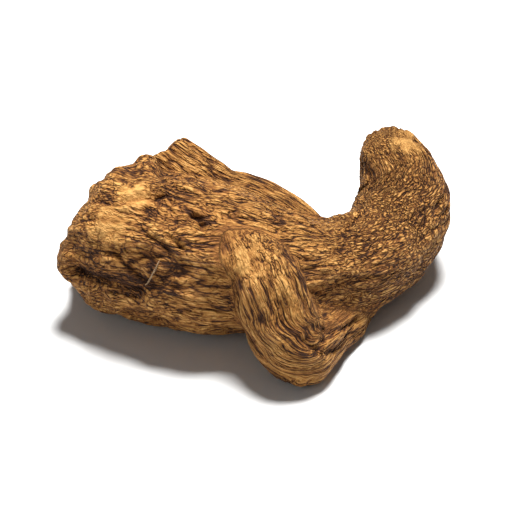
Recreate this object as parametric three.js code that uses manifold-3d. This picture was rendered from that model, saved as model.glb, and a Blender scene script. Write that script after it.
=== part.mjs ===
// One dried costus root, lying on a flat surface: a stout trunk that bends round into a hooked arm, a rib grown
// along its back, and a side root that drops over its front, turns at an elbow and grows back into the arm.
// Millimetres, +Z up. The origin is on the surface the root lies on, under its middle, and the trunk runs along X.
import * as THREE from "three";
import { mergeVertices } from "three/addons/utils/BufferGeometryUtils.js";
import Module from "manifold-3d";

const wasm = await Module();
wasm.setup();

// Driving dimensions
const TRUNK_RADIUS = 15.6; // at the thickest place, near the crown
const ARM_RADIUS = 10.4; // of the hooked arm
const SIDE_RADIUS = 6.8; // of the side root
const RIB_RADIUS = 7.0; // of the rib along the back
const REST_DEPTH = 0.45; // how much is worn flat where the root touches the surface

// The stations below are measured from under the crotch of the hook; this is where the middle of the root lies.
const MIDDLE = { x: 0.7, y: -0.8 };

// A limb is a list of stations along its centreline: [x, y, z, radius].
const trunk = {
  stations: [
    [-33.0, 4.8, 14.2 - REST_DEPTH, TRUNK_RADIUS - 1.4],
    [-27.0, 1.6, TRUNK_RADIUS - 0.6, TRUNK_RADIUS - 0.3],
    [-18.1, -3.2, TRUNK_RADIUS + 0.3, TRUNK_RADIUS],
    [-8.2, -6.6, TRUNK_RADIUS - 0.2, TRUNK_RADIUS - 0.6],
    [2.2, -6.6, 13.0, TRUNK_RADIUS - 2.9],
    [12.0, -3.8, 10.9, ARM_RADIUS],
    [21.0, 0.0, ARM_RADIUS - REST_DEPTH, ARM_RADIUS],
    [27.4, 7.6, ARM_RADIUS - 0.4 - REST_DEPTH, ARM_RADIUS - 0.4],
    [31.0, 15.2, 12.8, ARM_RADIUS - 0.1],
    [30.6, 19.8, 16.6, ARM_RADIUS - 1.3],
    [28.6, 23.2, 20.4, ARM_RADIUS - 3.1],
  ],
  firstDome: 8.5,
  lastDome: 6.0,
  rings: 54,
  sides: 40,
  flutes: [
    { count: 3, height: 0.03, phase: 0.6, twist: 0.012 },
    { count: 7, height: 0.02, phase: 2.1, twist: -0.01 },
  ],
};

const sideRoot = {
  stations: [
    [-6.0, -13.9, 22.3, SIDE_RADIUS - 1.8],
    [1.2, -16.5, 20.0, SIDE_RADIUS - 0.4],
    [2.6, -19.1, 18.0, SIDE_RADIUS + 0.2],
    [3.9, -21.4, 14.3, SIDE_RADIUS + 0.5],
    [5.6, -23.9, 9.8, SIDE_RADIUS + 0.3],
    [8.7, -25.4, 6.2 - REST_DEPTH, SIDE_RADIUS - 0.6],
    [12.2, -21.9, 5.1, SIDE_RADIUS - 1.8],
    [15.2, -16.8, 4.0, SIDE_RADIUS - 2.8],
    [18.5, -11.5, 3.2, SIDE_RADIUS - 3.5],
    [21.4, -6.8, 2.9, SIDE_RADIUS - 4.0],
  ],
  firstDome: 3.0,
  lastDome: 2.0,
  rings: 34,
  sides: 24,
  flutes: [{ count: 4, height: 0.04, phase: 1.0, twist: 0.02 }],
};

// The web that fills the bend of the side root, between it and the underside of the arm.
const web = {
  stations: [
    [6.4, -21.2, 9.6, SIDE_RADIUS - 1.6],
    [10.4, -19.6, 6.8, SIDE_RADIUS - 1.7],
    [13.2, -16.4, 4.9, SIDE_RADIUS - 2.5],
    [16.4, -11.6, 4.2, SIDE_RADIUS - 3.3],
  ],
  firstDome: 3.0,
  lastDome: 3.0,
  rings: 12,
  sides: 16,
  flutes: [],
};

const rib = {
  stations: [
    [-20.4, 17.9, 23.2, RIB_RADIUS + 0.1],
    [-15.0, 15.9, 21.2, RIB_RADIUS - 0.1],
    [-7.6, 13.2, 18.2, RIB_RADIUS - 1.0],
    [-0.9, 10.4, 17.6, RIB_RADIUS - 1.4],
    [4.2, 8.0, 17.2, RIB_RADIUS - 2.2],
    [8.6, 5.0, 15.6, RIB_RADIUS - 2.7],
    [12.5, 1.6, 13.0, RIB_RADIUS - 3.2],
  ],
  firstDome: 3.4,
  lastDome: 3.0,
  rings: 24,
  sides: 24,
  flutes: [{ count: 4, height: 0.05, phase: 0.4, twist: 0.015 }],
};

// Knobs round the rim of the broken crown: where on the rim, in degrees from its top, and how big.
const crownKnobs = [
  { angle: -72, radius: 4.4 },
  { angle: -36, radius: 5.0 },
  { angle: 4, radius: 4.8 },
  { angle: 40, radius: 5.2 },
  { angle: 74, radius: 4.4 },
];
const KNOB_INSET = 0.8; // of a knob's radius: how far its middle lies inside the rim
const KNOB_SINK = 0.82; // of a knob's radius: how far its middle lies under the broken face

// The crown is broken off across this plane.
const CROWN_POINT = new THREE.Vector3(-35.0, 3.4, 20.0);
const CROWN_NORMAL = new THREE.Vector3(-0.877, 0.276, 0.393).normalize();

// Its lower edge is broken off too, and leans in under a lip.
const LIP_POINT = new THREE.Vector3(-40.0, -2.1, 12.3);
const LIP_NORMAL = new THREE.Vector3(-0.894, -0.257, -0.366).normalize();

// The end of the rib is broken off across this plane.
const RIB_END_POINT = new THREE.Vector3(-15.6, 20.1, 27.2);
const RIB_END_NORMAL = new THREE.Vector3(-0.616, 0.452, 0.645).normalize();

const CUTTER_SIZE = 200;
const UP = new THREE.Vector3(0, 0, 1);

// Radius of the skin at an angle round a limb: the station's radius with shallow flutes that wind slowly along it.
function flutedRadius(limb, radius, angle, distance) {
  let factor = 1;
  for (const flute of limb.flutes) {
    factor += flute.height * Math.cos(flute.count * angle + flute.phase + flute.twist * distance * flute.count);
  }
  return radius * factor;
}

// The rings of a limb: its centre, its across and upward directions, its radius and its distance along the limb.
function ringsOf(limb) {
  const centreline = new THREE.CatmullRomCurve3(limb.stations.map(([x, y, z]) => new THREE.Vector3(x, y, z)));
  const radii = new THREE.CatmullRomCurve3(limb.stations.map(([, , , r]) => new THREE.Vector3(r, 0, 0)));
  const length = centreline.getLength();
  const rings = [];
  const addRing = (t, push, shrink) => {
    const tangent = centreline.getTangent(t);
    const top = UP.clone().addScaledVector(tangent, -UP.dot(tangent)).normalize();
    rings.push({
      centre: centreline.getPoint(t).addScaledVector(tangent, push),
      top,
      across: tangent.clone().cross(top),
      radius: radii.getPoint(t).x * shrink,
      distance: t * length + push,
    });
  };
  const domeSteps = [80, 60, 40, 20].map(THREE.MathUtils.degToRad);
  for (const a of domeSteps) addRing(0, -limb.firstDome * Math.sin(a), Math.cos(a));
  for (let i = 0; i <= limb.rings; i++) addRing(i / limb.rings, 0, 1);
  for (const a of domeSteps.toReversed()) addRing(1, limb.lastDome * Math.sin(a), Math.cos(a));
  return rings;
}

// A limb as one closed surface: its rings joined by quads, with a point at each end.
function limbGeometry(limb) {
  const rings = ringsOf(limb);
  const positions = [];
  const indices = [];
  for (const ring of rings) {
    for (let j = 0; j < limb.sides; j++) {
      const angle = (2 * Math.PI * j) / limb.sides;
      const radius = flutedRadius(limb, ring.radius, angle, ring.distance);
      const point = ring.centre
        .clone()
        .addScaledVector(ring.top, radius * Math.cos(angle))
        .addScaledVector(ring.across, radius * Math.sin(angle));
      positions.push(...point);
    }
  }
  const poles = [rings[0].centre, rings[rings.length - 1].centre];
  for (const pole of poles) positions.push(...pole);
  const firstPole = rings.length * limb.sides;
  for (let i = 0; i + 1 < rings.length; i++) {
    for (let j = 0; j < limb.sides; j++) {
      const next = (j + 1) % limb.sides;
      const a = i * limb.sides + j;
      const b = i * limb.sides + next;
      indices.push(a, b, b + limb.sides, a, b + limb.sides, a + limb.sides);
    }
  }
  const lastRing = (rings.length - 1) * limb.sides;
  for (let j = 0; j < limb.sides; j++) {
    const next = (j + 1) % limb.sides;
    indices.push(firstPole, next, j);
    indices.push(firstPole + 1, lastRing + j, lastRing + next);
  }
  const geometry = new THREE.BufferGeometry();
  geometry.setAttribute("position", new THREE.Float32BufferAttribute(positions, 3));
  geometry.setIndex(indices);
  return geometry;
}

function toSolid(geometry) {
  const bare = geometry.clone();
  bare.deleteAttribute("normal");
  bare.deleteAttribute("uv");
  const merged = mergeVertices(bare, 1e-4);
  return new wasm.Manifold(
    new wasm.Mesh({
      numProp: 3,
      vertProperties: new Float32Array(merged.attributes.position.array),
      triVerts: new Uint32Array(merged.index.array),
    }),
  );
}

function toGeometry(solid) {
  const mesh = solid.getMesh();
  const geometry = new THREE.BufferGeometry();
  geometry.setAttribute("position", new THREE.Float32BufferAttribute(mesh.vertProperties, 3));
  geometry.setIndex(new THREE.Uint32BufferAttribute(mesh.triVerts, 1));
  geometry.computeVertexNormals();
  return geometry;
}

// A block whose one face lies on a plane, with all of it on the side that the normal points to.
function blockBeyond(point, normal) {
  const block = new THREE.BoxGeometry(CUTTER_SIZE, CUTTER_SIZE, CUTTER_SIZE);
  block.translate(0, 0, CUTTER_SIZE / 2);
  block.applyQuaternion(new THREE.Quaternion().setFromUnitVectors(UP, normal));
  block.translate(point.x, point.y, point.z);
  return toSolid(block);
}

// A knob at an angle round the crown's rim, sunk so that only its cap stands out.
function knobSolid({ angle, radius }) {
  const [first, second] = trunk.stations.map(([x, y, z]) => new THREE.Vector3(x, y, z));
  const along = second.clone().sub(first).normalize();
  const top = UP.clone().addScaledVector(along, -UP.dot(along)).normalize();
  const across = along.clone().cross(top);
  const turn = THREE.MathUtils.degToRad(angle);
  const outward = top.multiplyScalar(Math.cos(turn)).addScaledVector(across, Math.sin(turn));
  const centre = first.clone().addScaledVector(outward, trunk.stations[0][3] - KNOB_INSET * radius);
  const toFace = CROWN_POINT.clone().sub(centre).dot(CROWN_NORMAL) / along.dot(CROWN_NORMAL);
  centre.addScaledVector(along, toFace).addScaledVector(CROWN_NORMAL, -KNOB_SINK * radius);
  return toSolid(new THREE.IcosahedronGeometry(radius, 3).translate(...centre));
}

const brokenRib = toSolid(limbGeometry(rib)).subtract(blockBeyond(RIB_END_POINT, RIB_END_NORMAL));
let crown = toSolid(limbGeometry(trunk)).add(brokenRib);
crown = crown.subtract(blockBeyond(CROWN_POINT, CROWN_NORMAL)).subtract(blockBeyond(LIP_POINT, LIP_NORMAL));
let root = crown.add(toSolid(limbGeometry(sideRoot))).add(toSolid(limbGeometry(web)));
for (const knob of crownKnobs) root = root.add(knobSolid(knob));
root = root.subtract(blockBeyond(new THREE.Vector3(0, 0, 0), new THREE.Vector3(0, 0, -1)));

const bark = new THREE.MeshStandardMaterial({ color: 0x8a5f33, roughness: 0.85, metalness: 0 });
const rootMesh = new THREE.Mesh(toGeometry(root), bark);
rootMesh.name = "costus_root";
rootMesh.position.set(-MIDDLE.x, -MIDDLE.y, 0);

const object = new THREE.Group();
object.add(rootMesh);

export default object;
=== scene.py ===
"""One dried costus root lying on a pale floor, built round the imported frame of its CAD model.

The root is one closed skin. Its limbs are balls of changing radius strung along smooth centrelines and
blended where they meet, and its crown and the end of its rib are broken off across planes. The skin is found
on a coarse grid, subdivided, drawn onto the blended limbs, and then raised and lowered by furrows that follow
the grain of each limb. The finest furrows are the bark material's own.
"""

from collections import namedtuple

import bpy
import numpy as np
from mathutils import Matrix, Vector


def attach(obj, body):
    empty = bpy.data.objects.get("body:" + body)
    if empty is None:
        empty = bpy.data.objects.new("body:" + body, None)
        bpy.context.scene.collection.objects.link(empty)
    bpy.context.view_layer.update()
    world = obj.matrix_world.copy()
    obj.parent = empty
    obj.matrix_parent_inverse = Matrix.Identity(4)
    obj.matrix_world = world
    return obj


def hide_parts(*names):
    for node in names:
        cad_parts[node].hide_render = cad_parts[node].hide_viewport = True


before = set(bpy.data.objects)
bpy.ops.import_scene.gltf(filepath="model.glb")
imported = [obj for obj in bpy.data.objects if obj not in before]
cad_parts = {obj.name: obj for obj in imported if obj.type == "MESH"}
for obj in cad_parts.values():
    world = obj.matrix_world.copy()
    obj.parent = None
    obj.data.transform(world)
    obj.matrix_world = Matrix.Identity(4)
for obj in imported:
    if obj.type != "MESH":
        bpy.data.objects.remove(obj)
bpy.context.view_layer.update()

MM = 0.001  # metres

# Sizes of the limbs, in millimetres, as in the CAD model
TRUNK_RADIUS = 15.6
ARM_RADIUS = 10.4
SIDE_RADIUS = 6.8
RIB_RADIUS = 7.0
REST_DEPTH = 0.45
MIDDLE = np.array([0.7, -0.8, 0.0])  # where the frame's origin lies among the stations

# Stations along each centreline: x, y, z and radius
TRUNK = [
    [-33.0, 4.8, 14.2 - REST_DEPTH, TRUNK_RADIUS - 1.4],
    [-27.0, 1.6, TRUNK_RADIUS - 0.6, TRUNK_RADIUS - 0.3],
    [-18.1, -3.2, TRUNK_RADIUS + 0.3, TRUNK_RADIUS],
    [-8.2, -6.6, TRUNK_RADIUS - 0.2, TRUNK_RADIUS - 0.6],
    [2.2, -6.6, 13.0, TRUNK_RADIUS - 2.9],
    [12.0, -3.8, 10.9, ARM_RADIUS],
    [21.0, 0.0, ARM_RADIUS - REST_DEPTH, ARM_RADIUS],
    [27.4, 7.6, ARM_RADIUS - 0.4 - REST_DEPTH, ARM_RADIUS - 0.4],
    [31.0, 15.2, 12.8, ARM_RADIUS - 0.1],
    [30.6, 19.8, 16.6, ARM_RADIUS - 1.5],
    [28.6, 23.2, 20.4, ARM_RADIUS - 3.3],
]
SIDE_ROOT = [
    [-6.0, -13.9, 22.3, SIDE_RADIUS - 1.8],
    [1.2, -16.5, 20.0, SIDE_RADIUS - 0.4],
    [2.6, -19.1, 18.0, SIDE_RADIUS + 0.2],
    [3.9, -21.4, 14.3, SIDE_RADIUS + 0.5],
    [5.6, -23.9, 9.8, SIDE_RADIUS + 0.3],
    [8.7, -25.4, 6.2 - REST_DEPTH, SIDE_RADIUS - 0.6],
    [12.2, -21.9, 5.1, SIDE_RADIUS - 1.8],
    [15.2, -16.8, 4.0, SIDE_RADIUS - 2.8],
    [18.5, -11.5, 3.2, SIDE_RADIUS - 3.5],
    [21.4, -6.8, 2.9, SIDE_RADIUS - 4.0],
]
WEB = [
    [6.4, -21.2, 9.6, SIDE_RADIUS - 1.6],
    [10.4, -19.6, 6.8, SIDE_RADIUS - 1.7],
    [13.2, -16.4, 4.9, SIDE_RADIUS - 2.5],
    [16.4, -11.6, 4.2, SIDE_RADIUS - 3.3],
]
RIB = [
    [-20.4, 17.9, 23.8, RIB_RADIUS],
    [-15.0, 15.9, 20.8, RIB_RADIUS - 0.5],
    [-7.6, 13.2, 18.2, RIB_RADIUS - 1.0],
    [-0.9, 10.4, 17.6, RIB_RADIUS - 1.4],
    [4.2, 8.0, 17.2, RIB_RADIUS - 2.2],
    [8.6, 5.0, 15.6, RIB_RADIUS - 2.7],
    [12.5, 1.6, 13.0, RIB_RADIUS - 3.2],
]

Break = namedtuple("Break", "point outward blend")

# Planes of the broken places: a point, the way out and how far the edge is rounded
CROWN_BREAK = Break([-35.0, 3.4, 20.0], [-0.877, 0.276, 0.393], 2.8)
LIP_BREAK = Break([-40.0, -2.1, 12.3], [-0.894, -0.257, -0.366], 2.0)
RIB_BREAK = Break([-16.6, 20.1, 27.2], [-0.616, 0.452, 0.645], 1.2)

BALL_STEP = 0.7  # millimetres between the balls of a limb
GRID_STEP = 1.56  # millimetres between the points of the coarse grid
GRID_MARGIN = 3.0  # millimetres of the grid round the limbs
SUBDIVISIONS = 2  # each halves the grid's step
CHUNK = 15000  # points worked on at a time
GRAIN_STEPS = 12  # moves made to find the place along a limb
GRAIN_PACE = 0.6  # the share of the way moved each time, so that tight bends settle too


# Noise

SLOPES = np.random.default_rng(11).normal(size=(256, 3))
SLOPES /= np.linalg.norm(SLOPES, axis=1, keepdims=True)


def noise(points, seed):
    """Smooth noise, about -1 to 1: random slopes at a unit lattice's corners, blended across each cell."""
    order = np.random.default_rng(seed).permutation(256)
    cell = np.floor(points).astype(np.int64)
    part = points - cell
    fade = part**3 * (part * (part * 6 - 15) + 10)
    total = np.zeros(len(points))
    for corner in np.ndindex(2, 2, 2):
        at = (cell + corner) & 255
        pick = order[(order[(order[at[:, 0]] + at[:, 1]) & 255] + at[:, 2]) & 255]
        weight = np.where(corner, fade, 1 - fade).prod(axis=1)
        total += weight * (SLOPES[pick] * (part - corner)).sum(axis=1)
    return total * 1.5


# The limbs

def in_chunks(work, points):
    """What the work makes of the points, a part of them at a time."""
    return np.concatenate([work(part) for part in np.array_split(points, len(points) // CHUNK + 1)])


class Limb:
    """Balls of changing radius along a smooth centreline through the stations, with shallow flutes.

    Nearer its start than the distance called straight, its grain runs straight on.
    """

    def __init__(self, stations, flutes=(), straight=0.0):
        line = smooth_line(np.array(stations, float))
        self.centre = line[:, :3] - MIDDLE
        self.radius = line[:, 3]
        self.along = unit(np.gradient(self.centre, axis=0))
        self.top = unit(np.array([0.0, 0.0, 1.0]) - self.along[:, 2:] * self.along)
        self.across = np.cross(self.along, self.top)
        steps = np.linalg.norm(np.diff(self.centre, axis=0), axis=1)
        self.distance = np.concatenate([[0.0], np.cumsum(steps)])
        self.flutes = flutes
        self.straight = straight / BALL_STEP
        self.mean_radius = self.radius.mean()

    def nearest(self, points):
        """The ball whose skin is nearest each point, and how far the point is outside it."""
        squares = (points**2).sum(axis=1)[:, None] + (self.centre**2).sum(axis=1) - 2 * points @ self.centre.T
        gaps = np.sqrt(np.maximum(squares, 0)) - self.radius
        n = gaps.argmin(axis=1)
        return n, gaps[np.arange(len(n)), n]

    def outside(self, points):
        """How far points are outside the limb: the gap to its nearest ball, less the flutes' waves there."""
        return in_chunks(self.outside_part, points)

    def outside_part(self, points):
        n, gap = self.nearest(points)
        offset = points - self.centre[n]
        angle = np.arctan2((offset * self.across[n]).sum(axis=1), (offset * self.top[n]).sum(axis=1))
        along = self.distance[n]
        wave = np.zeros(len(points))
        for count, height, phase, twist in self.flutes:
            wave += height * np.cos(count * angle + phase + twist * along * count)
        return gap - self.radius[n] * wave

    def grain(self, points):
        """How far along the limb points are, and how far up and aside for a limb of its mean radius."""
        return in_chunks(self.grain_part, points)

    def grain_part(self, points):
        """The place along is moved, a step at a time, to where the limb's cross-section holds the point."""
        place = self.nearest(points)[0].astype(float)
        for _ in range(GRAIN_STEPS):
            centre, along = self.between(place, self.centre), self.between(place, self.along)
            ahead = ((points - centre) * along).sum(axis=1) / BALL_STEP
            place = np.clip(place + GRAIN_PACE * ahead, self.straight, len(self.radius) - 1)
        offset = points - self.between(place, self.centre)
        scale = self.mean_radius / self.between(place, self.radius)
        distance = self.between(place, self.distance) + (offset * self.between(place, self.along)).sum(axis=1)
        up = (offset * self.between(place, self.top)).sum(axis=1) * scale
        aside = (offset * self.between(place, self.across)).sum(axis=1) * scale
        return np.stack([distance, up, aside], axis=1)

    def between(self, place, values):
        """The values at a place that may lie between two balls."""
        n = np.minimum(place.astype(int), len(values) - 2)
        part = (place - n).reshape((-1,) + (1,) * (values.ndim - 1))
        return values[n] * (1 - part) + values[n + 1] * part


def unit(vectors):
    """Each vector, at length 1."""
    return vectors / np.linalg.norm(vectors, axis=1, keepdims=True)


def smooth_line(stations):
    """Points a ball's step apart on a curve through the stations, its slope at each set by its neighbours."""
    spans = np.linalg.norm(np.diff(stations[:, :3], axis=0), axis=1)
    knots = np.concatenate([[0.0], np.cumsum(spans)])
    slopes = np.empty_like(stations)
    slopes[1:-1] = (stations[2:] - stations[:-2]) / (knots[2:] - knots[:-2])[:, None]
    slopes[0] = (stations[1] - stations[0]) / spans[0]
    slopes[-1] = (stations[-1] - stations[-2]) / spans[-1]
    at = np.linspace(0, knots[-1], int(knots[-1] / BALL_STEP) + 2)
    n = np.clip(np.searchsorted(knots, at, side="right") - 1, 0, len(spans) - 1)
    span = spans[n][:, None]
    t = (at - knots[n])[:, None] / span
    ends = (2 * t**3 - 3 * t**2 + 1) * stations[n] + (3 * t**2 - 2 * t**3) * stations[n + 1]
    return ends + span * ((t**3 - 2 * t**2 + t) * slopes[n] + (t**3 - t**2) * slopes[n + 1])


def blended(a, b, reach):
    """The lesser of two distances, rounded over where they come within reach of each other."""
    near = np.clip(1 - np.abs(a - b) / reach, 0, None)
    return np.minimum(a, b) - near * near * reach / 4


def smoothstep(low, high, x):
    """0 below low, 1 above high and an S-curve between."""
    t = np.clip((x - low) / (high - low), 0, 1)
    return t * t * (3 - 2 * t)


# Flutes: how many round the limb, how high as a share of its radius, where they start and how they wind
limbs = {
    "trunk": Limb(TRUNK, [(3, 0.03, 0.6, 0.012), (7, 0.02, 2.1, -0.01)]),
    "rib": Limb(RIB, [(3, 0.06, 0.4, 0.015), (6, 0.05, 1.3, 0.01)]),
    "side": Limb(SIDE_ROOT, [(4, 0.04, 1.0, 0.02)], straight=11.5),
    "web": Limb(WEB),
}

# Knobs round the crown's rim: angle from its top in degrees, radius and depth under the broken face
RIM_KNOBS = [
    (-72, 3.4, 2.6),
    (-54, 2.4, 2.6),
    (-36, 2.8, 3.0),
    (6, 4.0, 3.0),
    (42, 4.6, 3.2),
    (74, 4.0, 2.6),
]
KNOB_INSET = 0.8  # of a knob's radius: how far its middle lies inside the rim

# Two more by the end of the rib: middle, in millimetres from the frame's origin, and radius
RIB_KNOBS = [((-23.3, 8.9, 28.5), 2.6), ((-22.6, 5.0, 30.0), 2.2)]

# The hollow in the middle of the broken crown
DISH_RADIUS = 13.0
DISH_DEPTH = 1.8

# Millimetres over which the forms run into each other
RIB_BLEND = 1.8
KNOB_BLEND = 1.7
SIDE_BLEND = 2.8
WEB_BLEND = 4.0


def beyond(points, broken):
    """How far points are past the plane of a broken place."""
    return (points - broken.point + MIDDLE) @ way_out(broken)


def way_out(broken):
    """The direction out of a broken place, of length 1."""
    return broken.outward / np.linalg.norm(broken.outward)


def broken_off(gap, past, blend):
    """The distance outside what is left of a form without all that is past the break, its edge rounded."""
    return -blended(-gap, -past, blend)


def on_crown(point):
    """Where the line through a point, along the trunk's start, meets the broken face."""
    along = limbs["trunk"].along[0]
    return point - along * (beyond(point, CROWN_BREAK) / (along @ way_out(CROWN_BREAK)))


CROWN_MIDDLE = on_crown(limbs["trunk"].centre[0])


def rim_knobs():
    """The middle of each knob: a little inside the trunk's skin, and a little under the broken face."""
    trunk = limbs["trunk"]
    knobs = []
    for degrees, radius, sunk in RIM_KNOBS:
        turn = np.radians(degrees)
        sideways = trunk.top[0] * np.cos(turn) + trunk.across[0] * np.sin(turn)
        edge = on_crown(trunk.centre[0] + sideways * (trunk.radius[0] - KNOB_INSET * radius))
        knobs.append((edge - way_out(CROWN_BREAK) * sunk, radius))
    return knobs


KNOBS = rim_knobs() + [(np.array(middle), radius) for middle, radius in RIB_KNOBS]


def crown_face(points):
    """How far points are past the broken face, which is dished: deepest at its middle, level at its rim."""
    past = beyond(points, CROWN_BREAK)
    spread = ((points - CROWN_MIDDLE) ** 2).sum(axis=1) - past**2
    return past + DISH_DEPTH * np.clip(1 - spread / DISH_RADIUS**2, 0, 1)


def skin(points, whole=False):
    """How far points are outside the root.

    With whole, also how far they are outside each limb, and how much farther they are past the crown's broken
    face than outside the trunk and rib.
    """
    gaps = {name: limb.outside(points) for name, limb in limbs.items()}
    gaps["rib"] = broken_off(gaps["rib"], beyond(points, RIB_BREAK), RIB_BREAK.blend)
    body = blended(gaps["trunk"], gaps["rib"], RIB_BLEND)
    face = crown_face(points)
    crown = broken_off(body, face, CROWN_BREAK.blend)
    crown = broken_off(crown, beyond(points, LIP_BREAK), LIP_BREAK.blend)
    for middle, radius in KNOBS:
        crown = blended(crown, np.linalg.norm(points - middle, axis=1) - radius, KNOB_BLEND)
    fork = blended(gaps["side"], gaps["web"], WEB_BLEND)
    root = blended(crown, fork, SIDE_BLEND)
    return (root, gaps, face - body) if whole else root


def slope(points):
    """The way in which the distance outside the root grows fastest, from four samples round each point."""
    corners = np.array([[1, -1, -1], [-1, -1, 1], [-1, 1, -1], [1, 1, 1]], float)
    reach = 0.08
    total = sum(corner * skin(points + reach * corner)[:, None] for corner in corners)
    return total / (4 * reach)


def drawn_to_skin(points, times):
    """Points moved along the slope, that many times, by as far as they are outside."""
    for _ in range(times):
        rise = slope(points)
        points = points - rise * (skin(points) / (rise**2).sum(axis=1))[:, None]
    return points


# The skin as a mesh

def surface_net(values, low, step):
    """Quads where values on a grid change sign: a point in each cell and a quad over each edge crossed."""
    cells = tuple(n - 1 for n in values.shape)
    total = np.zeros(cells + (3,))
    count = np.zeros(cells)
    crossings = []
    for axis in range(3):
        turn = [axis, (axis + 1) % 3, (axis + 2) % 3]
        v = values.transpose(turn)
        crossed = (v[:-1] < 0) != (v[1:] < 0)
        share = np.where(crossed, v[:-1] / np.where(crossed, v[:-1] - v[1:], 1), 0)
        crossings.append((turn, crossed, v[:-1] < 0))
        total_t = total.transpose(turn + [3])
        count_t = count.transpose(turn)
        for b, c in np.ndindex(2, 2):
            window = (slice(None), slice(b, b + v.shape[1] - 1), slice(c, c + v.shape[2] - 1))
            count_t[...] += crossed[window]
            total_t[..., turn[0]] += share[window]
            total_t[..., turn[1]] += b * crossed[window]
            total_t[..., turn[2]] += c * crossed[window]
    used = count > 0
    number = np.full(cells, -1)
    number[used] = np.arange(used.sum())
    points = low + step * (np.argwhere(used) + total[used] / count[used][:, None])
    quads = []
    for turn, crossed, starts_inside in crossings:
        n = number.transpose(turn)
        a, b, c = np.nonzero(crossed[:, 1:-1, 1:-1])
        b, c = b + 1, c + 1
        ring = np.stack([n[a, b - 1, c - 1], n[a, b, c - 1], n[a, b, c], n[a, b - 1, c]], axis=1)
        quads.append(np.where(starts_inside[a, b, c][:, None], ring, ring[:, ::-1]))
    return points, np.concatenate(quads)


def coarse_skin():
    """The blended limbs as a coarse mesh of quads."""
    lows = [(limb.centre - limb.radius[:, None]).min(axis=0) for limb in limbs.values()]
    highs = [(limb.centre + limb.radius[:, None]).max(axis=0) for limb in limbs.values()]
    low = np.min(lows, axis=0) - GRID_MARGIN
    high = np.max(highs, axis=0) + GRID_MARGIN
    axes = [np.arange(a, b, GRID_STEP) for a, b in zip(low, high)]
    grid = np.stack(np.meshgrid(*axes, indexing="ij"), axis=-1)
    values = skin(grid.reshape(-1, 3)).reshape(grid.shape[:3])
    points, quads = surface_net(values, np.array([a[0] for a in axes]), GRID_STEP)
    mesh = bpy.data.meshes.new("coarse_skin")
    mesh.from_pydata(points, [], quads)
    return mesh


def subdivided(mesh, levels):
    """The mesh after that many Catmull-Clark subdivisions."""
    rough = bpy.data.objects.new("rough_skin", mesh)
    bpy.context.scene.collection.objects.link(rough)
    rounding = rough.modifiers.new("rounding", "SUBSURF")
    rounding.levels = rounding.render_levels = levels
    fine = bpy.data.meshes.new_from_object(rough.evaluated_get(bpy.context.evaluated_depsgraph_get()))
    bpy.data.objects.remove(rough)
    return fine


def vertices(mesh):
    flat = np.empty(len(mesh.vertices) * 3)
    mesh.vertices.foreach_get("co", flat)
    return flat.reshape(-1, 3)


# The bark

Furrows = namedtuple("Furrows", "across along depth width seed")

# Furrows of each kind of bark: their spacing across and along the grain, their depth and how narrow they are
BARK = {
    "crown": [Furrows(4.4, 10, 0.95, 0.16, 1), Furrows(2.3, 5.0, 0.65, 0.26, 2)],
    "trunk": [Furrows(4.2, 20, 1.05, 0.15, 1), Furrows(2.2, 8, 0.55, 0.26, 2)],
    "arm": [Furrows(3.6, 8.0, 0.75, 0.18, 4), Furrows(2.0, 3.4, 0.55, 0.28, 5)],
    "rib": [Furrows(3.2, 34, 1.4, 0.16, 7), Furrows(1.9, 14, 0.6, 0.26, 8)],
    "side": [Furrows(3.2, 24, 0.8, 0.16, 10), Furrows(1.9, 10, 0.5, 0.26, 11)],
    "web": [Furrows(3.0, 22, 0.8, 0.16, 13), Furrows(1.9, 9, 0.42, 0.26, 14)],
}
CROWN_ENDS = (20.0, 36.0)  # millimetres along the trunk, over which the crown's bark turns into the trunk's
ARM_STARTS = (42.0, 58.0)  # and over which the trunk's turns into the arm's
TIP_STARTS = (78.0, 92.0)  # and over which the arm's net turns into streaks
LIMB_SEAM = 0.7  # millimetres over which one limb's bark gives way to another's
GRAIN_APART = 400.0  # millimetres between the grains of two limbs, so that no two are alike
SWAY = {"trunk": 0.8, "rib": 0.35, "side": 0.35, "web": 0.5}  # millimetres that each limb's grain wanders
SWAY_ALONG = 1.8  # and that it wanders along the limb
SWAY_LENGTHS = [9.0, 4.0, 4.0]  # millimetres between its waves: along and twice across
# How short and how narrow each limb's finest lines are
FINE_GRAIN = {"trunk": (1, 1, 1), "rib": (0.6, 1.3, 1.3), "side": (0.65, 1.3, 1.3), "web": (0.65, 1.3, 1.3)}

Lump = namedtuple("Lump", "size height more seed")

# Swellings of the bark: their size and height, and how much higher they are at the crown
LUMPS = [Lump(8.0, 0.5, 0.5, 70), Lump(4.4, 0.28, 0.3, 71)]

# The places that follow are in millimetres from the frame's origin.

Crack = namedtuple("Crack", "line depth width")

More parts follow.
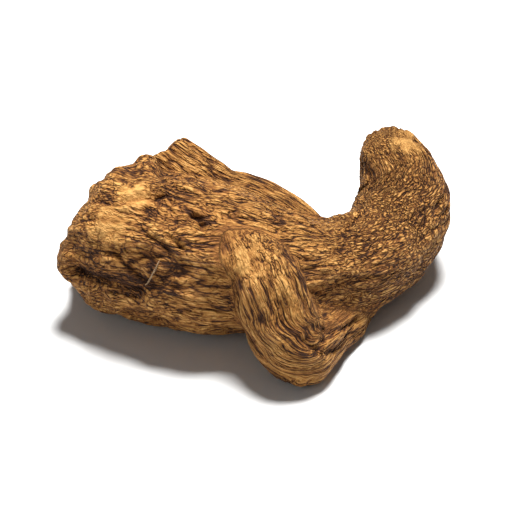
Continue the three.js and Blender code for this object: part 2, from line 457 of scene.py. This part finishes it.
# Cracks and folds, each darkened in colour as painted shade: the points each runs through, its depth and its
# half width
CRACKS = [
    Crack([(-13.1, -10.3, 29.4), (-11.8, -11.3, 28.9), (-10.6, -12.5, 28.4)], 1.3, 0.6),
    Crack([(20.8, 6.0, 19.4), (19.4, 2.2, 19.8), (17.8, -1.9, 20.2)], 0.9, 0.6),
    Crack([(-19.3, 3.7, 31.1), (-13.7, 0.1, 31.4), (-7.8, -3.8, 30.9), (-3.6, -5.8, 29.8)], 0.6, 1.0),
    Crack([(12.3, -24.7, 13.1), (14.8, -21.9, 9.8), (20.1, -13.1, 5.6)], 0.9, 0.8),
    Crack([(8.8, -28.3, 12.3), (12.6, -27.8, 8.9), (15.1, -24.7, 6.5), (18.7, -16.6, 5.2)], 0.7, 0.7),
    Crack([(-30.2, -12.0, 21.9), (-28.2, -13.0, 21.8)], 1.0, 0.9),
    Crack([(-26.2, -4.9, 27.4), (-23.2, -5.6, 29.6), (-20.7, -5.6, 30.6), (-19.3, -5.0, 31.0)], 1.0, 0.8),
    Crack([(-16.9, -14.8, 26.8), (-15.5, -15.9, 26.1)], 0.9, 0.8),
    Crack([(-20.1, 2.0, 31.1), (-19.1, -1.4, 31.8)], 0.9, 0.9),
    Crack([(-37.4, -9.2, 14.8), (-33.7, -12.4, 16.4), (-30.3, -14.4, 16.9), (-24.4, -17.6, 16.0)], 2.0, 2.3),
]

Patch = namedtuple("Patch", "middle radius rise seed")

# Smooth pale scars where the bark has worn off: the middle of each, its radius and how much it stands out
PATCHES = [
    Patch((-29.9, -9.7, 25.6), 5.0, 0.5, 60),
    Patch((-24.8, -5.4, 29.6), 3.9, 0.4, 61),
    Patch((-2.8, -19.4, 24.8), 4.8, 0.1, 62),
    Patch((31.0, 21.3, 26.4), 3.4, 0.2, 63),
]

# A dry fibre that lies on the bark
FIBRE = [(-19.6, -16.7, 23.2), (-20.5, -17.4, 21.1), (-21.7, -17.8, 19.1), (-23.0, -17.9, 17.4)]
FIBRE_RADIUS = 0.18
FIBRE_RINGS = 18
FIBRE_SIDES = 8


def furrowed(grain, kind):
    """Height of the bark and how far down a furrow it is, for painted shade: furrows run where stretched noise
    is near zero.

    A groove is 1 where the noise is zero and falls off as its width over the distance. Its depth comes and goes
    along it with slower noise.
    """
    height = np.zeros(len(grain))
    hollow_shade = np.zeros(len(grain))
    for f in BARK[kind]:
        fading = noise(grain / [2 * f.along, 3 * f.across, 3 * f.across], 50 + f.seed)
        depth = np.clip(0.8 + 0.9 * fading, 0.1, 1.4)
        n = noise(grain / [f.along, f.across, f.across], f.seed)
        groove = f.width / (np.sqrt(n * n + f.width**2 / 4) + f.width / 2)
        height -= f.depth * depth * (groove - 0.45)
        hollow_shade = np.maximum(hollow_shade, groove * np.minimum(depth, 1))
    return np.stack([height, hollow_shade], axis=1)


def swayed(grain, sway):
    """The grain with slow waves in it."""
    waves = np.stack([noise(grain / SWAY_LENGTHS, 30 + n) for n in range(3)], axis=1)
    return grain + waves * [SWAY_ALONG, sway, sway]


def lumps(points, crown):
    """Slow swellings that take no notice of the grain, higher near the crown."""
    return sum((lump.height + lump.more * crown) * noise(points / lump.size, lump.seed) for lump in LUMPS)


def bark_relief(points, gaps):
    """Each limb's bark, the nearest limb's counting most: its height, depth for painted shade, grain, seams for
    painted shade, net and crown.
    """
    gap = np.stack([gaps[name] for name in limbs], axis=1)
    weight = np.exp(-(gap - gap.min(axis=1, keepdims=True)) / LIMB_SEAM)
    weight /= weight.sum(axis=1, keepdims=True)
    grains = [swayed(limbs[name].grain(points) + GRAIN_APART * n, SWAY[name]) for n, name in enumerate(limbs)]
    reliefs = [furrowed(grain, name) for name, grain in zip(limbs, grains)]
    along = grains[0][:, 0]
    crown = 1 - smoothstep(*CROWN_ENDS, along)
    arm = smoothstep(*ARM_STARTS, along)
    kinds = {"crown": crown, "trunk": (1 - crown) * (1 - arm), "arm": arm}
    reliefs[0] = sum(furrowed(grains[0], kind) * share[:, None] for kind, share in kinds.items())
    relief = (np.stack(reliefs, axis=2) * weight[:, None, :]).sum(axis=2)
    nearest = gap.argmin(axis=1)
    fine = np.stack([grain * FINE_GRAIN[name] for name, grain in zip(limbs, grains)], axis=1)
    first, second = np.sort(gap, axis=1)[:, :2].T
    on_trunk = weight[:, 0]
    net = (arm * (1 - 0.6 * smoothstep(*TIP_STARTS, along)) + 0.4 * crown) * on_trunk
    fine = fine[np.arange(len(points)), nearest]
    return relief[:, 0], relief[:, 1], fine, 1 - smoothstep(0.1, 1.3, second - first), net, crown * on_trunk


def line_distance(points, line):
    """How far points are from a line through the given points."""
    best = np.full(len(points), np.inf)
    for a, b in zip(line[:-1], line[1:]):
        share = np.clip((points - a) @ (b - a) / ((b - a) @ (b - a)), 0, 1)
        best = np.minimum(best, np.linalg.norm(points - a - share[:, None] * (b - a), axis=1))
    return best


def cracked(points, height, hollow_shade):
    """The bark lowered along each crack, which wavers a little and fades out at its edges, and marked for
    painted shade.
    """
    waver = np.stack([noise(points / 2.0, 90 + n) for n in range(3)], axis=1) * 0.5
    for crack in CRACKS:
        line = drawn_to_skin(np.array(crack.line), 5)
        share = np.exp(-((line_distance(points + waver, line) / crack.width) ** 2))
        height = height - crack.depth * share
        hollow_shade = np.maximum(hollow_shade, share)
    return height, hollow_shade


def paleness(points):
    """How far each point is within a scar, and how much it is raised there."""
    pale = np.zeros(len(points))
    rise = np.zeros(len(points))
    for patch in PATCHES:
        middle = drawn_to_skin(np.array([patch.middle]), 5)[0]
        ragged = 0.7 * noise(points / 2.2, patch.seed)
        spread = np.linalg.norm(points - middle, axis=1) / patch.radius + ragged
        share = 1 - smoothstep(0.3, 1.25, spread)
        pale = np.maximum(pale, share)
        rise += patch.rise * share
    return pale, rise


def broken_height(points):
    """The torn fibres of the crown's face: wedges spread from its middle, with pits and crests between."""
    offset = points - CROWN_MIDDLE
    spread = np.linalg.norm(offset, axis=1, keepdims=True)
    wedges = noise(offset / (spread + 1) * 4.5 + way_out(CROWN_BREAK) * spread / 9, 80)
    pits = np.abs(noise(points / 2.6, 81))
    return 0.8 * wedges * np.minimum(spread[:, 0] / 9, 1) + 0.9 * pits + 0.5 * noise(points / 5.0, 82) - 0.35


def fibre_tube(points, normals):
    """The fibre as a thin tube along its line, resting on the bark and tapering to its ends."""
    line = np.array(FIBRE)
    at = np.linspace(0, len(line) - 1, FIBRE_RINGS)
    middle = np.stack([np.interp(at, np.arange(len(line)), line[:, n]) for n in range(3)], axis=1)
    nearest = np.array([((points - m) ** 2).sum(axis=1).argmin() for m in middle])
    up = unit(normals[nearest])
    centre = points[nearest] + up * FIBRE_RADIUS
    for _ in range(4):
        centre[1:-1] = (centre[:-2] + 2 * centre[1:-1] + centre[2:]) / 4
    aside = unit(np.cross(np.gradient(centre, axis=0), up))
    turn = np.linspace(0, 2 * np.pi, FIBRE_SIDES, endpoint=False)[None, :, None]
    radius = FIBRE_RADIUS * np.sqrt(1.02 - np.linspace(-1, 1, FIBRE_RINGS) ** 4)[:, None, None]
    rings = centre[:, None] + radius * (up[:, None] * np.cos(turn) + aside[:, None] * np.sin(turn))
    ring, side = np.divmod(np.arange((FIBRE_RINGS - 1) * FIBRE_SIDES), FIBRE_SIDES)
    near, far = ring * FIBRE_SIDES + side, ring * FIBRE_SIDES + (side + 1) % FIBRE_SIDES
    quads = np.stack([near, far, far + FIBRE_SIDES, near + FIBRE_SIDES], axis=1)
    ends = np.arange(FIBRE_SIDES)
    return rings.reshape(-1, 3), quads.tolist() + [ends[::-1].tolist(), (ends + len(quads)).tolist()]


def bark_surface():
    """The root's skin, raised and lowered by its bark: points, normals, quads and what the material reads."""
    rough = subdivided(coarse_skin(), SUBDIVISIONS)
    points = drawn_to_skin(vertices(rough), 3)
    normals = unit(slope(points))
    _, gaps, past_body = skin(points, whole=True)
    height, hollow_shade, grain, seam_shade, net, crown = bark_relief(points, gaps)
    pale, rise = paleness(points)
    broken = smoothstep(-0.8, 1.8, past_body)
    height = height * (1 - 0.65 * pale) + rise + lumps(points, crown)
    height = height * (1 - broken) + broken_height(points) * broken
    height, hollow_shade = cracked(points, height, hollow_shade * (1 - 0.6 * broken))
    points = points + normals * height[:, None]
    points[:, 2] = np.maximum(points[:, 2], 0)
    quads = np.empty(len(rough.loops), np.int32)
    rough.loops.foreach_get("vertex_index", quads)
    looks = {"height": height, "hollow_shade": hollow_shade, "seam_shade": seam_shade, "net": net, "broken": broken, "pale": pale}
    return points, normals, quads.reshape(-1, 4), looks, grain


def root_mesh():
    """The whole root, with its fibre, and what its material reads at each point."""
    points, normals, quads, looks, grain = bark_surface()
    tube, tube_faces = fibre_tube(points, normals)
    faces = quads.tolist() + [[n + len(points) for n in face] for face in tube_faces]
    mesh = bpy.data.meshes.new("costus_root_bark")
    mesh.from_pydata(np.concatenate([points, tube]) * MM, [], faces)
    bare = np.zeros(len(tube))
    for name, values in looks.items():
        store(mesh, name, "FLOAT", "value", np.concatenate([values, bare]))
    store(mesh, "fibre", "FLOAT", "value", np.concatenate([np.zeros(len(points)), bare + 1]))
    store(mesh, "grain", "FLOAT_VECTOR", "vector", np.concatenate([grain, tube]))
    mesh.polygons.foreach_set("use_smooth", np.ones(len(mesh.polygons), bool))
    mesh.update()
    return mesh


def store(mesh, name, kind, field, values):
    """Puts values into a mesh, one at each of its points, for its material to read."""
    mesh.attributes.new(name, kind, "POINT").data.foreach_set(field, values.astype(np.float32).ravel())


# Materials

class Value:
    """A socket of a material's nodes, on which sums are written as on a number."""

    def __init__(self, finish, socket):
        self.finish = finish
        self.socket = socket

    def __add__(self, other):
        return self.finish.maths("ADD", self, other)

    def __sub__(self, other):
        return self.finish.maths("SUBTRACT", self, other)

    def __rsub__(self, other):
        return self.finish.maths("SUBTRACT", other, self)

    def __mul__(self, other):
        return self.finish.maths("MULTIPLY", self, other)

    def between(self, low, high):
        """0 at low, 1 at high and an S-curve between, and clamped beyond them."""
        settings = {"interpolation_type": "SMOOTHSTEP"}
        return self.finish.node("ShaderNodeMapRange", settings, self, low, high, 0.0, 1.0)

    __radd__ = __add__
    __rmul__ = __mul__


class Finish:
    """A material, and the nodes that make its looks."""

    def __init__(self, name):
        self.material = bpy.data.materials.new(name)
        self.material.use_nodes = True
        self.nodes = self.material.node_tree.nodes
        self.links = self.material.node_tree.links
        self.shader = self.nodes["Principled BSDF"]

    def node(self, kind, settings, *values, out=0, **named):
        """One output of a node: its settings are made first, and its sockets filled by place or by name."""
        node = self.nodes.new(kind)
        for name, setting in settings.items():
            setattr(node, name, setting)
        for socket, value in [*zip(node.inputs, values), *((node.inputs[n], v) for n, v in named.items())]:
            if isinstance(value, Value):
                self.links.new(value.socket, socket)
            else:
                socket.default_value = value
        return Value(self, node.outputs[out])

    def maths(self, operation, *values):
        return self.node("ShaderNodeMath", {"operation": operation}, *values)

    def attribute(self, name, out="Fac"):
        return self.node("ShaderNodeAttribute", {"attribute_name": name}, out=out)

    def mix(self, share, a, b):
        """Colour a, turning into colour b as share goes from 0 to 1."""
        mixer = self.nodes.new("ShaderNodeMix")
        mixer.data_type = "RGBA"
        for socket, value in ((mixer.inputs[0], share), (mixer.inputs[6], a), (mixer.inputs[7], b)):
            if isinstance(value, Value):
                self.links.new(value.socket, socket)
            else:
                socket.default_value = value
        return Value(self, mixer.outputs[2])

    def scaled(self, vector, scale):
        return self.node("ShaderNodeVectorMath", {"operation": "MULTIPLY"}, vector, scale)

    def noise(self, vector, detail=2.0, roughness=0.5, out=0):
        sockets = {"Scale": 1.0, "Detail": detail, "Roughness": roughness}
        return self.node("ShaderNodeTexNoise", {}, vector, out=out, **sockets)

    def off_middle(self, vector):
        """How far noise is from its middle: 0 along thin wandering lines, and growing away from them."""
        return self.maths("ABSOLUTE", self.noise(vector) - 0.5)

    def larger(self, a, b):
        return self.maths("MAXIMUM", a, b)

    def set(self, socket, value):
        if isinstance(value, Value):
            self.links.new(value.socket, self.shader.inputs[socket])
        else:
            self.shader.inputs[socket].default_value = value


DEEP_BROWN = (0.036, 0.011, 0.003, 1)
BARK_BROWN = (0.180, 0.066, 0.014, 1)
OCHRE = (0.36, 0.160, 0.037, 1)
TAN = (0.57, 0.300, 0.088, 1)
HEART = (0.26, 0.120, 0.036, 1)
STRAW = (0.42, 0.27, 0.15, 1)

# How often each fine mark of the bark comes in a millimetre: along the grain, and twice across it
STREAKS = (0.13, 0.78, 0.78)
DASHES = (0.36, 1.35, 1.35)
GAPS = (0.25, 0.55, 0.55)
WRINKLES = (0.7, 1.0, 1.0)
WRINKLE_BENDS = (0.45, 0.6, 0.6)
TONE = (0.10, 0.50, 0.50)
GRIT = (1.0, 2.2, 2.2)
PATCHINESS = (0.07, 0.13, 0.13)

BEND_REACH = (2.4, 2.4, 2.4)  # how far the net of wrinkles is bent, in its own cells
BUMP_HEIGHT = 0.8 * MM


def bark_lines(bark, grain):
    """How raised and how scored the bark is: its lines run where noise along the grain is at its middle."""
    streaks = bark.off_middle(bark.scaled(grain, STREAKS))
    dashes = bark.off_middle(bark.scaled(grain, DASHES))
    gaps = bark.noise(bark.scaled(grain, GAPS), 1.0).between(0.40, 0.58)
    scores = (1 - streaks.between(0.0, 0.05)) * gaps + (1 - dashes.between(0.0, 0.06)) * (1 - gaps) * 0.8
    ridges = streaks.between(0.0, 0.15) * 0.5 + dashes.between(0.0, 0.13) * 0.5
    return ridges, scores


def bark_net(bark, grain):
    """A net of wrinkles: how far each point is from the edges of cells whose grid is bent by noise."""
    bends = bark.scaled(bark.noise(bark.scaled(grain, WRINKLE_BENDS), 2.0, out=1), BEND_REACH)
    bent = bark.node("ShaderNodeVectorMath", {"operation": "ADD"}, bark.scaled(grain, WRINKLES), bends)
    edge = bark.node("ShaderNodeTexVoronoi", {"feature": "DISTANCE_TO_EDGE"}, bent, Scale=1.0)
    return edge.between(0.0, 0.16) * 0.45 + edge.between(0.05, 0.45) * 0.55


def bark_material():
    """Ochre-brown bark: painted shade in its furrows, cracks and limb joins, tan on its ridges, finely lined
    and, on the arm, netted.
    """
    bark = Finish("bark")
    grain = bark.attribute("grain", "Vector")
    height, hollow_shade, seam_shade, net, broken, pale, fibre = (
        bark.attribute(name) for name in ("height", "hollow_shade", "seam_shade", "net", "broken", "pale", "fibre")
    )
    ridges, scores = bark_lines(bark, grain)
    cells = bark_net(bark, grain)
    tone = bark.noise(bark.scaled(grain, TONE), 3.0, 0.6)
    grit = bark.noise(bark.scaled(grain, GRIT), 3.0, 0.65)
    patches = bark.noise(bark.scaled(grain, PATCHINESS), 2.0)
    netted = net * 0.7 + 0.3
    plain = 1 - bark.larger(seam_shade, pale) * 0.75
    relief = (ridges + (cells - ridges) * netted - scores * 0.3 - 0.45) * plain + grit * 0.6
    marks = ridges * 0.75 + (cells * 0.95 - ridges * 0.75) * netted - scores * 0.6 - 0.27
    lines = marks * plain + grit * 1.1
    # Scars, patches and tone are real wear and colour, and the net darkens the arm's own bark. The seams, where
    # limbs join, are darkened as painted shade.
    wear_and_seam_shade = pale * 0.38 + patches * 0.24 + tone * 0.38 - seam_shade * 0.12 - net * 0.08
    # Painted shade and highlight: lowered bark is coloured darker and raised bark lighter.
    # Painted shade: the colour is darkened deep in furrows and cracks.
    shade = lines * 0.95 + height * 0.14 + wear_and_seam_shade - hollow_shade.between(0.72, 1.0) * 0.28 - 0.545
    low = bark.mix(shade.between(-0.35, 0.12), DEEP_BROWN, BARK_BROWN)
    middle = bark.mix(shade.between(0.02, 0.42), low, OCHRE)
    high = bark.mix(shade.between(0.36, 0.85), middle, TAN)
    colour = bark.mix(broken * 0.45, high, HEART)
    bark.set("Base Color", bark.mix(fibre, colour, STRAW))
    bark.set("Roughness", 0.80 - shade.between(0.0, 0.8) * 0.14)
    bark.set("Specular IOR Level", 0.2)
    bark.set("Normal", bark.node("ShaderNodeBump", {}, Strength=1.0, Distance=BUMP_HEIGHT, Height=relief))
    return bark.material


def floor_material():
    """Plain pale matt floor."""
    floor = Finish("pale_floor")
    floor.set("Base Color", (0.80, 0.80, 0.79, 1))
    floor.set("Roughness", 0.9)
    return floor.material


# The scene

FLOOR_HALF = 3.0  # metres from its middle to its edges
LAMP_TARGET = (0, 0, 0.01)  # in the root, near its middle


def add_object(name, mesh, material):
    piece = bpy.data.objects.new(name, mesh)
    bpy.context.scene.collection.objects.link(piece)
    mesh.materials.clear()
    mesh.materials.append(material)
    return piece


def add_floor():
    """A square of floor far wider than the view."""
    corners = [(x * FLOOR_HALF, y * FLOOR_HALF, 0) for x, y in ((-1, -1), (1, -1), (1, 1), (-1, 1))]
    mesh = bpy.data.meshes.new("floor")
    mesh.from_pydata(corners, [], [(0, 1, 2, 3)])
    return add_object("floor", mesh, floor_material())


def aimed(place, target):
    """Where an object at place is, turned so that it looks at target with its top up."""
    back = (Vector(place) - Vector(target)).normalized()
    side = Vector((0, 0, 1)).cross(back).normalized()
    turn = Matrix((side, back.cross(side), back)).transposed()
    return Matrix.Translation(place) @ turn.to_4x4()


def add_lamp(name, place, size, power):
    lamp = bpy.data.lights.new(name, "AREA")
    lamp.shape = "DISK"
    lamp.size = size
    lamp.energy = power
    holder = bpy.data.objects.new(name, lamp)
    bpy.context.scene.collection.objects.link(holder)
    holder.matrix_world = aimed(place, LAMP_TARGET)


# The view: the photograph's angle above the surface, and the point of the root at the picture's middle
VIEW_ELEVATION = np.radians(35)
VIEW_DISTANCE = 0.43
VIEW_TARGET = Vector((-0.0007, -0.00077, 0.013))
VIEW_LENS = 147.7


def add_camera():
    lens = bpy.data.cameras.new("camera")
    lens.lens = VIEW_LENS
    lens.sensor_width = 36
    camera = bpy.data.objects.new("camera", lens)
    bpy.context.scene.collection.objects.link(camera)
    away = Vector((0, -np.cos(VIEW_ELEVATION), np.sin(VIEW_ELEVATION)))
    camera.matrix_world = aimed(VIEW_TARGET + away * VIEW_DISTANCE, VIEW_TARGET)
    bpy.context.scene.camera = camera


def set_light():
    """A broad lamp overhead, a weaker one from the front left, and a pale room."""
    add_lamp("overhead", (0.05, 0.13, 0.60), 0.24, 9.5)
    add_lamp("front_left", (-0.45, -0.45, 0.35), 0.4, 0.5)
    world = bpy.data.worlds.new("room")
    bpy.context.scene.world = world
    world.use_nodes = True
    world.node_tree.nodes["Background"].inputs["Color"].default_value = (0.95, 0.95, 0.96, 1)
    world.node_tree.nodes["Background"].inputs["Strength"].default_value = 0.13
    bpy.context.scene.view_settings.view_transform = "Standard"


add_camera()
set_light()
root = add_object("costus_root_bark", root_mesh(), bark_material())
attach(root, "root")
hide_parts("costus_root")
add_floor()
